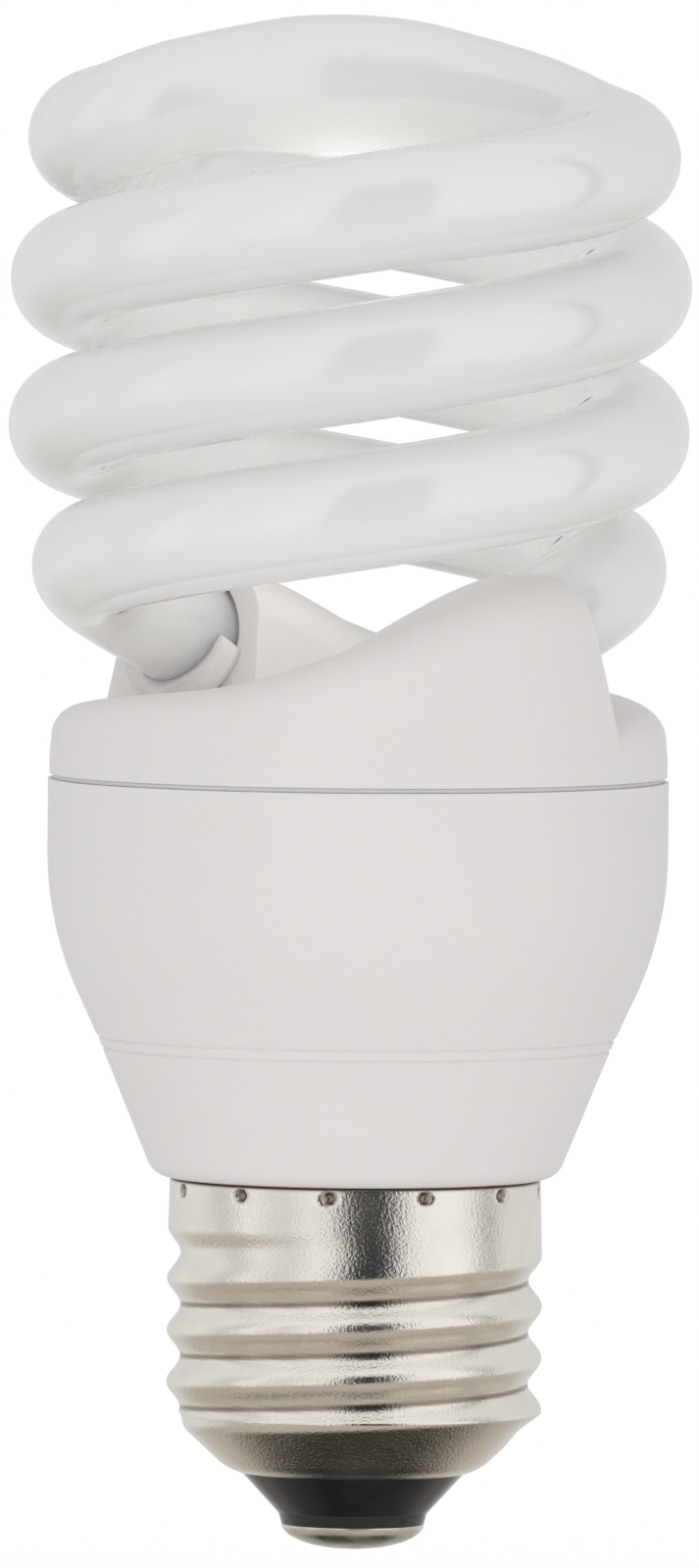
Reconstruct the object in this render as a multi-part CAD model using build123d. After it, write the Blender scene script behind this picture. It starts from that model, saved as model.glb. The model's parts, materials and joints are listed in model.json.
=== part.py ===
from build123d import *
import os
from math import acos, asin, atan, ceil, cos, degrees, pi, radians, sin, sqrt, tan

# Spiral compact fluorescent lamp with a screw cap, in millimetres.
# +Z runs up the axis, the origin is the tip of the centre contact, and -Y is the front.

# Glass tube
tube_diameter = 8.3
coil_radius = 19.7
coil_lead = 20.6
coil_mid_height = 78.55
leg_start_angle = 31.0
leg_inward_span = 82.0
leg_end_radius = 14.2
leg_end_angle = -74.0
leg_lead = 47.0
leg_bend_span = 40.0
bend_radius = 5.3
bridge_height = 102.45
bridge_swell_length = 16.0
bridge_swell = 0.9
bridge_dip = 21.0
coil_shift = -0.8
coil_lean = 0.5

# Screw cap
thread_pitch = 25.4 / 7
thread_depth = 0.85
thread_land = 0.26
thread_turns = 3.75
thread_top_angle = 230.0
thread_top_height = 21.25
cap_radius = 13.15
cap_wall = 0.3
cap_lip_radius = 7.8
cap_turn_radius = 3.9
cap_turn_start = 9.6
cap_cone_angle = 43.0
cap_cone_top = 9.6
cap_flare_height = 20.0
cap_rim_radius = 13.0
cap_rim_height = 26.1
crimp_count = 12
crimp_radius = 0.8
crimp_depth = 0.4
crimp_height = 24.6
crimp_angle = -98.0
fit_gap = 0.1

# Cap foot
contact_radius = 5.0
contact_height = 1.75
contact_stem_radius = 1.6
insulator_collar_radius = 5.2
insulator_collar_top = 2.5
insulator_collar_fillet = 0.6
insulator_fill_height = 8.4
wire_diameter = 0.6
wire_bend = 2.0

# Ballast housing
housing_radius = 21.75
housing_top = 54.0
housing_wall = 1.3
housing_straight_base = 49.0
housing_curve_radius = 24.0
housing_curve_angle = 24.5
housing_step_height = 36.2
housing_step = 0.05
housing_foot_radius = 14.13
housing_foot_corner = 1.75
trim_groove_count = 2
trim_groove_width = 0.3
trim_groove_spacing = 0.75
neck_length = 2.5
neck_wall = 1.3
board_rib_count = 6
board_rib_width = 1.4
board_rib_depth = 7.0
board_ledge = 1.0

# Tube holder
holder_radius = 21.65
holder_inner_radius = 8.3
holder_wall = 1.1
holder_skirt = 1.2
seam_gap = 0.35
mouth_angle = -32.5
mouth_rake = 12.0
mouth_hole_drop = 1.4
tail_height = 3.8
ramp_rise = 5.6
hump_rise = 5.3
hump_start = 0.48
hump_span = 0.46
tail_corner = 2.2
mouth_corner = 4.4
wall_draft = 6.0
ramp_slices = 10
tube_clearance = 0.25
spigot_length = 3.4
spigot_wall = 1.1
spigot_flange_inset = 0.4
snap_bead = 0.3
snap_bead_rise = 1.0

# Circuit board and the parts on it
board_gap = 1.35
board_thickness = 1.2
board_clamp_gap = 0.2
lead_diameter = 0.6
stand_off = 1.4
part_wall_gap = 1.15
capacitor_radius = 5.0
capacitor_length = 17.0
capacitor_corner = 0.5
capacitor_bead_radius = 0.6
capacitor_bead_depth = 0.35
capacitor_bead_drop = 2.2
capacitor_place = (6.5, 0.0)
choke_place = (-7.5, 0.5)
core_width = 11.0
core_depth = 4.6
core_height = 10.0
core_limb = 2.4
core_yoke = 2.0
core_outer_limb = 1.5
bobbin_wall = 0.5
bobbin_pin_inset = 1.0
winding_depth = 1.5
winding_gap = 0.2
winding_corner = 0.9
toroid_radius = 4.5
toroid_bore = 2.5
toroid_height = 3.5
toroid_windings = 3
toroid_turns = 3
toroid_turn_angle = 16.0
toroid_place = (0.5, 11.5)
transistor_radius = 2.4
transistor_height = 4.8
transistor_lead_pitch = 1.27
transistor_places = [(3.2, -12.2), (-2.4, -12.2)]
film_lead_inset = 1.2
film_capacitors = {
    "resonant_capacitor": (-9.0, -9.0, 8.0, 4.0, 8.0),
    "coupling_capacitor": (8.8, -9.3, 6.0, 3.4, 7.0),
}
thermistor_radius = 3.5
thermistor_thickness = 2.2
thermistor_place = (-10.0, 9.5)
diode_radius = 1.35
diode_length = 5.2
diode_angles = [-29.0, -14.0, 14.0, 29.0]
resistor_radius = 1.15
resistor_length = 6.3
resistor_angles = [42.0, 54.0, 205.5]
fuse_radius = 1.5
fuse_length = 9.0
fuse_base = 12.0
fuse_lead_rise = 2.0
fuse_lead_slant = 6.0
live_place = (-0.5, -6.5)
neutral_place = (0.3, 5.6)

# Tube ends
seal_wire_diameter = 0.5
seal_wire_spacing = 3.0
seal_wire_run = 3.2
seal_wire_bend = 1.2
pin_width = 0.9
pin_height = 3.0
cement_length = 5.0
cement_thickness = 1.3

# Worked-out sizes
tube_radius = tube_diameter / 2
wire_radius = wire_diameter / 2
lead_radius = lead_diameter / 2
board_radius = housing_radius - housing_wall - board_gap
board_top = housing_top - spigot_length - board_clamp_gap
board_bottom = board_top - board_thickness
holder_base = housing_top + seam_gap
tail_top = holder_base + tail_height
bead_height = housing_top - spigot_length + snap_bead_rise
neck_radius = cap_rim_radius - cap_wall - fit_gap
neck_foot = cap_rim_height - neck_length
coil_end_angle = 540 - degrees(asin(bend_radius / (coil_radius - bend_radius)))


def polar(radius, angle, height):
    """A point from its distance to the axis, its angle from +X and its height."""
    return Vector(radius * cos(radians(angle)), radius * sin(radians(angle)), height)


def smooth_step(share):
    """A soft ramp from 0 to 1."""
    share = min(max(share, 0.0), 1.0)
    return share * share * (3 - 2 * share)


def turned(outline):
    """A solid turned about Z from an outline of radius and height."""
    return revolve(Plane.XZ * outline, Axis.Z)


def half_turn(shape):
    """The same shape on the other side of the axis."""
    return Rot(0, 0, 180) * shape


def standing(radius, length, top):
    """An upright round body with its upper end at the given level."""
    return Pos(0, 0, top) * Cylinder(radius, length, align=(Align.CENTER, Align.CENTER, Align.MAX))


def tube_along(path, radius):
    section = Plane(path @ 0, z_dir=path % 0) * Circle(radius)
    return sweep(section, path)


# Glass tube

def coil_height(angle):
    return coil_mid_height + coil_lead * (angle - 180) / 360


def leg_point(angle):
    """The leg leaves the coil, closes in on the axis and dips more steeply to its seal."""
    inward = smooth_step((leg_start_angle - angle) / leg_inward_span)
    radius = coil_radius - (coil_radius - leg_end_radius) * inward
    below = max(0.0, leg_bend_span / 4 - angle)
    extra = (leg_lead - coil_lead) / 360
    if below < leg_bend_span:
        drop = extra * below ** 2 / leg_bend_span / 2
    else:
        drop = extra * (below - leg_bend_span / 2)
    return polar(radius, angle, coil_height(angle) - drop)


def leg_direction(angle):
    """The way the leg points at an angle, looking up the tube."""
    return (leg_point(angle + 0.5) - leg_point(angle - 0.5)).normalized()


def two_arcs(start, start_way, end, end_way):
    """Two arcs in a row that leave along one direction and arrive along the other."""
    gap = end - start
    a = 2 * start_way.dot(end_way) - 2
    b = -2 * gap.dot(start_way + end_way)
    reach = (-b - sqrt(b * b - 4 * a * gap.dot(gap))) / (2 * a)
    first = start + start_way * reach
    second = end - end_way * reach
    middle = (first + second) * 0.5
    return [
        TangentArc(start, middle, tangent=start_way).edge(),
        TangentArc(middle, end, tangent=second - first).edge(),
    ]


def coil_point(angle):
    return polar(coil_radius, angle, coil_height(angle))


def coil_direction(angle):
    """The way the coil points at an angle, looking up the tube."""
    rise = coil_lead / (2 * pi * coil_radius)
    return Vector(-sin(radians(angle)), cos(radians(angle)), rise).normalized()


def leg_arcs():
    """From the seal to the coil, by way of a knee half-way round."""
    bend = (leg_end_angle + leg_start_angle) / 2
    knee, knee_way = leg_point(bend), leg_direction(bend)
    lower = two_arcs(leg_point(leg_end_angle), leg_direction(leg_end_angle), knee, knee_way)
    joint, joint_way = coil_point(leg_start_angle), coil_direction(leg_start_angle)
    return lower + two_arcs(knee, knee_way, joint, joint_way)


def coil_arcs():
    """The helix as arcs, two to each stretch of at most a quarter turn."""
    count = ceil((coil_end_angle - leg_start_angle) / 90)
    step = (coil_end_angle - leg_start_angle) / count
    arcs = []
    for i in range(count):
        low = leg_start_angle + step * i
        high = low + step
        arcs += two_arcs(coil_point(low), coil_direction(low), coil_point(high), coil_direction(high))
    return arcs


def bridge_arcs():
    """A tight rising turn inwards, then an arch that levels out at the top of the lamp."""
    foot_x = -sqrt((coil_radius - bend_radius) ** 2 - bend_radius ** 2)
    level_x = -bridge_swell_length / 2
    slope = radians(bridge_dip)
    foot = Vector(foot_x, 0, bridge_height - (level_x - foot_x) * tan(slope / 2))
    foot_way = Vector(cos(slope), 0, sin(slope))
    turn = two_arcs(coil_point(coil_end_angle), coil_direction(coil_end_angle), foot, foot_way)
    return turn + [TangentArc(foot, Vector(level_x, 0, bridge_height), tangent=foot_way).edge()]


def placed_coil(shape):
    """The blown coil sits a little to one side and leans, as in the lamp that was measured."""
    middle = coil_height(270)
    return Pos(coil_shift, 0, middle) * Rot(0, coil_lean, 0) * Pos(0, 0, -middle) * shape


def make_discharge_tube():
    strand = tube_along(Wire(leg_arcs() + coil_arcs() + bridge_arcs()), tube_radius)
    half = bridge_swell_length / 2
    crown = tube_radius + bridge_swell
    level = [(1, 0), (1, 0)]
    swell = Spline((-half, tube_radius), (0, crown), (half, tube_radius), tangents=level)
    rest = Polyline((half, tube_radius), (half, 0), (-half, 0), (-half, tube_radius))
    bulb = Pos(0, 0, bridge_height) * revolve(Plane.XZ * make_face([swell, rest]), Axis.X)
    return placed_coil(strand + half_turn(strand) + bulb)


# Screw cap

def half_thread_section(inset):
    """Half of the rolled groove between two crests, grown by the inset, with Y outwards."""
    half_pitch = thread_pitch / 2
    bend = (half_pitch ** 2 + thread_depth ** 2) / (4 * thread_depth)
    lift = bend - sqrt(bend ** 2 - thread_land ** 2)
    crest = bend - inset
    root = bend + inset
    lean = asin(half_pitch / (2 * bend))
    run_off = asin(thread_land / 2 / crest)

    def on_crest(angle):
        return Vector(half_pitch - crest * sin(angle), lift - bend + crest * cos(angle))

    def on_root(angle):
        return Vector(root * sin(angle), lift - thread_depth + bend - root * cos(angle))

    top = on_crest(run_off)
    return make_face([
        ThreePointArc(top, on_crest((lean + run_off) / 2), on_crest(lean)),
        ThreePointArc(on_crest(lean), on_root(lean / 2), on_root(0)),
        Polyline(on_root(0), (0, thread_depth), (top.X, thread_depth), top),
    ])


def thread_groove(inset):
    """The groove winds down the cap from a rounded upper end."""
    height = thread_pitch * thread_turns
    path = Helix(thread_pitch, height, cap_radius)
    path = Rot(0, 0, thread_top_angle - 360 * thread_turns) * path
    path = Pos(0, 0, thread_top_height - height) * path
    half = half_thread_section(inset)

    def across(end):
        spot = path @ end
        outward = Vector(spot.X, spot.Y, 0).normalized()
        return Plane(spot, x_dir=outward, z_dir=path % end) * Rot(0, 0, -90)

    winding = sweep(across(0) * (half + mirror(half, Plane.YZ)), path, is_frenet=True)
    top = path @ 1
    nose = revolve(across(1) * half, Axis(top, Vector(top.X, top.Y, 0)), 180)
    return winding, nose


def skirt_radius(height):
    """The cap narrows a little from its threaded wall to its rim."""
    share = (height - cap_flare_height) / (cap_rim_height - cap_flare_height)
    return cap_radius + (cap_rim_radius - cap_radius) * share


def cone_point(radius, inset):
    """A point of the cap's cone, or of its inside when it is inset by the wall."""
    lean = radians(cap_cone_angle)
    return Vector(radius, cap_cone_top + inset / cos(lean) - (cap_radius - radius) * tan(lean))


def lip_turn(inset):
    """The arc by which the cone turns in to the lip, from the lip outwards."""
    lean = radians(cap_cone_angle)
    middle = cone_point(cap_turn_start, 0.0) + Vector(-sin(lean), cos(lean)) * cap_turn_radius
    bend = cap_turn_radius - inset
    first = -acos((cap_lip_radius - middle.X) / bend)
    last = lean - pi / 2

    def at(angle):
        return middle + Vector(cos(angle), sin(angle)) * bend

    return ThreePointArc(at(first), at((first + last) / 2), at(last))


def cap_form(inset):
    """The cap's outside, or its inside when it is inset by the wall."""
    turn = lip_turn(inset)
    wall = cap_radius - inset
    rim = cap_rim_height + inset
    outline = make_face([
        Line((0, (turn @ 0).Y), turn @ 0),
        turn,
        Polyline(
            turn @ 1,
            cone_point(wall, inset),
            (wall, cap_flare_height),
            (skirt_radius(rim) - inset, rim),
            (0, rim),
            (0, (turn @ 0).Y),
        ),
    ])
    form = turned(outline)
    for groove in thread_groove(inset):
        form -= groove
    for crimp in crimp_balls(crimp_radius + inset):
        form -= crimp
    return form


def crimp_balls(radius):
    """Balls that press the cap's rim into the housing's neck."""
    reach = skirt_radius(crimp_height) + crimp_radius - crimp_depth
    angles = [crimp_angle + 360 / crimp_count * i for i in range(crimp_count)]
    return [Pos(*polar(reach, angle, crimp_height)) * Sphere(radius) for angle in angles]


def make_screw_shell():
    hole_top = (lip_turn(cap_wall) @ 0).Y + cap_wall
    hole = standing(cap_lip_radius, hole_top, hole_top)
    return cap_form(0.0) - cap_form(cap_wall) - hole


# Cap foot

def make_cap_insulator():
    """Black glass poured into the cap's foot, with a hole for the contact's stem."""
    turn = lip_turn(cap_wall)
    lip = lip_turn(0.0) @ 0
    collar = (insulator_collar_radius, insulator_collar_top)
    lean = radians(cap_cone_angle)
    fill_radius = (turn @ 1).X + (insulator_fill_height - (turn @ 1).Y) / tan(lean)
    outline = make_face([
        Polyline((contact_radius, contact_height), collar, lip, turn @ 0),
        turn,
        Polyline(
            turn @ 1,
            (fill_radius, insulator_fill_height),
            (contact_stem_radius, insulator_fill_height),
            (contact_stem_radius, contact_height),
            (contact_radius, contact_height),
        ),
    ])
    hollow = outline.vertices().sort_by_distance((*collar, 0))[0]
    return turned(fillet(hollow, insulator_collar_fillet))


def make_centre_contact():
    """A domed plate riveted through the glass by a hollow stem."""
    bore = wire_radius + fit_gap
    middle = (0, contact_height)
    dome = EllipticalCenterArc(middle, contact_radius, contact_height, start_angle=270, arc_size=90)
    rest = Polyline(
        (contact_radius, contact_height),
        (contact_stem_radius, contact_height),
        (contact_stem_radius, insulator_fill_height),
        (bore, insulator_fill_height),
        (bore, contact_height),
        (0, contact_height),
        (0, 0),
    )
    return turned(make_face([dome, rest]))


# Ballast housing

curve_foot_height = housing_straight_base - housing_curve_radius * sin(radians(housing_curve_angle))
curve_foot_radius = housing_radius - housing_curve_radius * (1 - cos(radians(housing_curve_angle)))
curve_foot_drop = curve_foot_height - housing_step_height
step_radius = curve_foot_radius - curve_foot_drop * tan(radians(housing_curve_angle))
cone_top_radius = step_radius - housing_step


def cone_radius(height):
    """The outer radius of the straight taper above the cap."""
    share = (height - cap_rim_height) / (housing_step_height - cap_rim_height)
    return housing_foot_radius + (cone_top_radius - housing_foot_radius) * share


def housing_curve(inset):
    """The shoulder's curve, from its vertical top to its foot."""
    bend = housing_curve_radius - inset
    middle = housing_radius - housing_curve_radius

    def at(angle):
        turn = radians(angle)
        return Vector(middle + bend * cos(turn), housing_straight_base - bend * sin(turn))

    return ThreePointArc(at(0), at(housing_curve_angle / 2), at(housing_curve_angle))


def housing_solid():
    outer = housing_curve(0.0)
    taper = [(step_radius, housing_step_height), (cone_top_radius, housing_step_height)]
    half = trim_groove_width / 2
    for i in range(trim_groove_count):
        middle = housing_step_height - trim_groove_width - trim_groove_spacing * i
        taper.append((cone_radius(middle + half), middle + half))
        taper.append((cone_radius(middle) - half, middle))
        taper.append((cone_radius(middle - half), middle - half))
    foot = (housing_foot_radius, cap_rim_height)
    taper += [foot, (neck_radius, cap_rim_height), (neck_radius, neck_foot)]
    outline = make_face([
        Polyline((0, neck_foot), (0, housing_top), (housing_radius, housing_top), outer @ 0),
        outer,
        Polyline(outer @ 1, *taper, (0, neck_foot)),
    ])
    corner = outline.vertices().sort_by_distance((*foot, 0))[0]
    return turned(fillet(corner, housing_foot_corner))


def housing_space():
    """The hollow inside, which runs on through the neck into the cap."""
    inner = housing_curve(housing_wall)
    inner_radius = housing_radius - housing_wall
    neck_bore = neck_radius - neck_wall
    lean = atan((cone_top_radius - housing_foot_radius) / (housing_step_height - cap_rim_height))
    across = housing_wall / cos(lean)
    ledge = cap_rim_height + housing_wall
    low = neck_foot - housing_wall
    high = housing_top + housing_wall
    outline = make_face([
        Polyline((0, low), (0, high), (inner_radius, high), inner @ 0),
        inner,
        Polyline(
            inner @ 1,
            (cone_top_radius - across, housing_step_height),
            (cone_radius(ledge) - across, ledge),
            (neck_bore, ledge),
            (neck_bore, low),
            (0, low),
        ),
    ])
    return turned(outline)


def wall_radius(height):
    """The inner radius of the housing's straight top and of the curve below it."""
    below = max(0.0, housing_straight_base - height)
    bend = housing_curve_radius - housing_wall
    return housing_radius - housing_curve_radius + sqrt(bend ** 2 - below ** 2)


def make_ballast_housing():
    solid = housing_solid()
    inner_radius = housing_radius - housing_wall
    body = solid - housing_space()
    rib = Box(housing_radius, board_rib_width, board_rib_depth, align=(Align.MIN, Align.CENTER, Align.MAX))
    rib = Pos(board_radius - board_ledge, 0, board_bottom) * rib
    for i in range(board_rib_count):
        body += (Rot(0, 0, 360 / board_rib_count * (i + 0.5)) * rib) & solid
    groove = Polyline(
        (inner_radius - snap_bead, bead_height - 4 * snap_bead),
        (inner_radius + snap_bead, bead_height),
        (inner_radius - snap_bead, bead_height + 4 * snap_bead),
        close=True,
    )
    body -= turned(make_face(groove))
    for crimp in crimp_balls(crimp_radius + cap_wall + fit_gap):
        body -= crimp
    return body


# Tube holder

def ramp_height(share):
    """The ridge climbs gently from its tail and then swells up over the tube."""
    return tail_top + ramp_rise * share + hump_rise * smooth_step((share - hump_start) / hump_span)


def ramp_section(share, inset):
    """One upright slice of a ramp, on the plane through the axis."""
    ridge = ramp_height(share) - inset
    corner = tail_corner + (mouth_corner - tail_corner) * share ** 2 - inset
    shoulder = ridge - corner
    foot = holder_base if inset == 0 else holder_base - inset
    lean = tan(radians(wall_draft)) * (ramp_height(share) - tail_top)
    outer_foot = holder_radius - inset
    inner_foot = holder_inner_radius + inset
    outer = outer_foot - lean
    inner = inner_foot + lean
    skirt = (outer_foot, holder_base + holder_skirt)
    bulge = corner * (1 - sqrt(0.5))
    outline = make_face([
        Polyline((inner, shoulder), (inner_foot, foot), (outer_foot, foot), skirt, (outer, shoulder)),
        ThreePointArc((outer, shoulder), (outer - bulge, ridge - bulge), (outer - corner, ridge)),
        Line((outer - corner, ridge), (inner + corner, ridge)),
        ThreePointArc((inner + corner, ridge), (inner + bulge, ridge - bulge), (inner, shoulder)),
    ])
    angle = mouth_angle - 180 + 180 * share
    radial = Vector(cos(radians(angle)), sin(radians(angle)), 0)
    across = Vector(sin(radians(angle)), -cos(radians(angle)), 0)
    return Plane((0, 0, 0), x_dir=radial, z_dir=across) * outline


def ramp(inset):
    return loft([ramp_section(i / ramp_slices, inset) for i in range(ramp_slices + 1)])


def beyond_mouth(rake, back):
    """All that lies past a ramp's end face, which leans back by the rake."""
    span = 2 * holder_radius
    block = Box(span, span, 2 * span, align=(Align.MIN, Align.MIN, Align.CENTER))
    return Pos(0, 0, tail_top) * Rot(0, 0, mouth_angle) * Rot(rake, 0, 0) * Pos(0, -back, 0) * block


def make_tube_holder():
    outer = ramp(0.0) - beyond_mouth(mouth_rake, 0.0)
    hollow = ramp(holder_wall)
    for rake in (0.0, mouth_rake):
        hollow -= beyond_mouth(rake, holder_wall)
    plate = standing(holder_inner_radius + holder_wall / 2, holder_wall, tail_top)
    body = outer + half_turn(outer) + plate
    body = body - hollow - half_turn(hollow)
    body += make_spigot()
    for hole in leg_holes():
        body = body - placed_coil(hole) - placed_coil(half_turn(hole))
    return body


def make_spigot():
    """The ring under the holder that snaps into the housing."""
    outside = housing_radius - housing_wall - fit_gap
    inside = outside - spigot_wall
    foot = housing_top - spigot_length
    flange = holder_radius - spigot_flange_inset
    outline = Polyline(
        (inside, foot),
        (outside, foot),
        (outside, bead_height - 2 * snap_bead),
        (outside + snap_bead, bead_height),
        (outside, bead_height + 2 * snap_bead),
        (outside, holder_base),
        (flange, holder_base),
        (flange, holder_base + holder_wall),
        (inside, holder_base + holder_wall),
        close=True,
    )
    return turned(make_face(outline))


def leg_holes():
    """The clear way of a leg through its hump, deeper at the mouth, so that the leg can be tilted in."""
    path = leg_arcs()
    way = tube_along(Wire(path), tube_radius + tube_clearance)
    slot = Pos(0, 0, -mouth_hole_drop) * tube_along(Wire(path[1:]), tube_radius)
    return [way, slot]


# Circuit board and the parts under it

def make_circuit_board():
    return standing(board_radius, board_thickness, board_top)


def hung(shape, place):
    """A part drawn below its own origin goes to its place under the board."""
    return Pos(place[0], place[1], board_bottom) * shape


def straight_lead(x, y, length):
    return Pos(x, y, 0) * standing(lead_radius, length, 0)


def make_smoothing_capacitor():
    can = standing(capacitor_radius, capacitor_length, -stand_off)
    can = fillet(can.edges(), capacitor_corner)
    ring = Torus(capacitor_radius + capacitor_bead_radius - capacitor_bead_depth, capacitor_bead_radius)
    can -= Pos(0, 0, -stand_off - capacitor_bead_drop) * ring
    for side in (-1, 1):
        can += straight_lead(side * capacitor_radius / 2, 0, 2 * stand_off)
    return hung(can, capacitor_place)


core_window_width = (core_width - core_limb) / 2 - core_outer_limb
core_window_height = core_height - 2 * core_yoke
window_middle = -stand_off - core_height / 2


def make_choke_core():
    """Two E-shaped ferrite halves closed on each other."""
    core = Pos(0, 0, window_middle) * Box(core_width, core_depth, core_height)
    offset = core_limb / 2 + core_window_width / 2
    window = Box(core_window_width, 2 * core_depth, core_window_height)
    for side in (-1, 1):
        core -= Pos(side * offset, 0, window_middle) * window
    return hung(core, choke_place)


def make_choke_bobbin():
    bore_x = core_limb + 2 * fit_gap
    bore_y = core_depth + 2 * fit_gap
    height = core_window_height - 2 * fit_gap
    flange_x = core_limb + 2 * core_window_width - 2 * fit_gap
    flange_y = bore_y + 2 * (bobbin_wall + winding_depth)
    flange = Box(flange_x, flange_y, bobbin_wall)
    bobbin = Box(bore_x + 2 * bobbin_wall, bore_y + 2 * bobbin_wall, height)
    for side in (-1, 1):
        bobbin += Pos(0, 0, side * (height - bobbin_wall) / 2) * flange
    bobbin -= Box(bore_x, bore_y, 2 * height)
    bobbin = Pos(0, 0, window_middle) * bobbin
    pin_length = -window_middle - height / 2 + bobbin_wall / 2
    pin_x = flange_x / 2 - bobbin_pin_inset
    pin_y = flange_y / 2 - bobbin_pin_inset
    for x in (-pin_x, pin_x):
        for y in (-pin_y, pin_y):
            bobbin += straight_lead(x, y, pin_length)
    return hung(bobbin, choke_place)


def make_choke_winding():
    bore_x = core_limb + 2 * fit_gap + 2 * bobbin_wall
    bore_y = core_depth + 2 * fit_gap + 2 * bobbin_wall
    depth_x = core_window_width - 2 * fit_gap - bobbin_wall - winding_gap
    depth_y = winding_depth - winding_gap
    height = core_window_height - 2 * fit_gap - 2 * bobbin_wall
    coil = Box(bore_x + 2 * depth_x, bore_y + 2 * depth_y, height)
    coil = fillet(coil.edges().filter_by(Axis.Z), winding_corner) - Box(bore_x, bore_y, 2 * height)
    return hung(Pos(0, 0, window_middle) * coil, choke_place)


def make_drive_toroid():
    """A small ferrite ring with three short windings of enamelled wire."""
    middle = -stand_off - toroid_height / 2 - lead_diameter
    ring = Cylinder(toroid_radius, toroid_height) - Cylinder(toroid_bore, 2 * toroid_height)
    loop_width = toroid_radius - toroid_bore + 2 * lead_diameter
    loop = Box(loop_width, lead_diameter, toroid_height + 2 * lead_diameter)
    loop = fillet(loop.edges().filter_by(Axis.Y), lead_radius)
    centre = (toroid_radius + toroid_bore) / 2
    reach = toroid_radius + lead_radius
    last = (toroid_turns - 1) / 2
    leads = []
    for winding in range(toroid_windings):
        start = 360 / toroid_windings * winding
        for turn in range(toroid_turns):
            ring += Rot(0, 0, start + toroid_turn_angle * (turn - last)) * Pos(centre, 0, 0) * loop
        for side in (-last, last):
            place = polar(reach, start + toroid_turn_angle * side, 0)
            leads.append(straight_lead(place.X, place.Y, -middle))
    ring = Pos(0, 0, middle) * ring
    for lead in leads:
        ring += lead
    return hung(ring, toroid_place)


def make_transistor(place):
    top = -2 * stand_off
    body = standing(transistor_radius, transistor_height, top)
    flat = Box(3 * transistor_radius, transistor_radius, 3 * transistor_height)
    body -= Pos(0, transistor_radius, top) * flat
    for x in (-transistor_lead_pitch, 0, transistor_lead_pitch):
        body += straight_lead(x, 0, 3 * stand_off)
    return hung(body, place)


def make_film_capacitor(x, y, width, depth, height):
    body = Pos(0, 0, -stand_off - height / 2) * Box(width, depth, height)
    body = fillet(body.edges(), depth / 4)
    lead_pitch = width / 2 - film_lead_inset
    for side in (-1, 1):
        body += straight_lead(side * lead_pitch, 0, 2 * stand_off)
    return hung(body, (x, y))


def make_start_thermistor():
    disc = Rot(90, 0, 0) * Cylinder(thermistor_radius, thermistor_thickness)
    disc = fillet(disc.edges(), thermistor_thickness / 4)
    disc = Pos(0, 0, -stand_off - thermistor_radius) * disc
    for side in (-1, 1):
        disc += straight_lead(side * thermistor_radius / 2, 0, stand_off + thermistor_radius)
    return hung(disc, thermistor_place)


def make_upright_part(radius, length, angle):
    """A small round part on end near the wall, with its lower lead bent back up to the board."""
    body = fillet(standing(radius, length, -stand_off).edges(), radius / 4)
    bend = 2 * lead_radius
    foot = -stand_off - length
    low = foot - bend
    out = radius + 3 * lead_radius
    path = FilletPolyline((0, 0, foot + bend), (0, 0, low), (out, 0, low), (out, 0, 0), radius=0.9 * bend)
    body += straight_lead(0, 0, 2 * stand_off) + tube_along(path, lead_radius)
    circle = wall_radius(board_bottom + low - lead_radius) - part_wall_gap - out - lead_radius
    return Rot(0, 0, angle) * hung(body, (circle, 0))


def make_fusible_resistor():
    """The live wire with its fusible resistor, from the board to the centre contact."""
    top = fuse_base + fuse_length
    body = fillet(standing(fuse_radius, fuse_length, top).edges(), fuse_radius / 3)
    tail_end = fuse_base + fuse_radius
    tail = standing(wire_radius, tail_end - contact_height, tail_end)
    x, y = live_place
    bend = top + fuse_lead_rise
    corners = [(0, 0, top - fuse_radius), (0, 0, bend), (x, y, bend + fuse_lead_slant), (x, y, board_bottom)]
    return body + tail + tube_along(FilletPolyline(*corners, radius=wire_bend), wire_radius)


def make_neutral_wire():
    """A bare wire from the board to the cap's wall, just under the housing's neck."""
    x, y = neutral_place
    level = neck_foot - wire_radius - fit_gap / 2
    end = sqrt((skirt_radius(level) - cap_wall - fit_gap) ** 2 - x ** 2)
    path = FilletPolyline((x, y, board_bottom), (x, y, level), (x, end, level), radius=wire_bend)
    return tube_along(path, wire_radius)


# Tube ends

def seal_wire_path(side):
    """The straight start of a wire that leaves the end of a leg, on one side of its middle."""
    end = leg_point(leg_end_angle)
    frame = Plane(end, x_dir=polar(1, leg_end_angle, 0), z_dir=-leg_direction(leg_end_angle))
    start = frame.from_local_coords((side * seal_wire_spacing / 2, 0, 0))
    turn = frame.from_local_coords((side * seal_wire_spacing / 2, 0, seal_wire_run))
    return start, turn


def on_coil(point, flip):
    """Where a point of the first leg, or of its twin, lies once the coil is in place."""
    spot = Pos(*point) if not flip else Rot(0, 0, 180) * Pos(*point)
    return placed_coil(spot).position


def make_wire_and_pin(side, flip):
    start, turn = seal_wire_path(side)
    start, turn = on_coil(start, flip), on_coil(turn, flip)
    pin_top = Vector(turn.X, turn.Y, board_top + pin_height)
    path = FilletPolyline(start, turn, pin_top, radius=seal_wire_bend)
    wire = tube_along(path, seal_wire_diameter / 2)
    pin = Box(pin_width, pin_width, pin_height, align=(Align.CENTER, Align.CENTER, Align.MAX))
    return wire, Pos(*pin_top) * pin


def make_tube_cement(flip):
    """A ring of cement that fixes a leg in its hump."""
    seal_end = leg_arcs()[0]
    stretch = seal_end.trim(0.0, cement_length / seal_end.length)
    ring = tube_along(stretch, tube_radius + cement_thickness) - tube_along(seal_end, tube_radius)
    space = ramp(holder_wall)
    if flip:
        ring, space = half_turn(ring), half_turn(space)
    return placed_coil(ring) & space


# All the pieces, one file each

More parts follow.
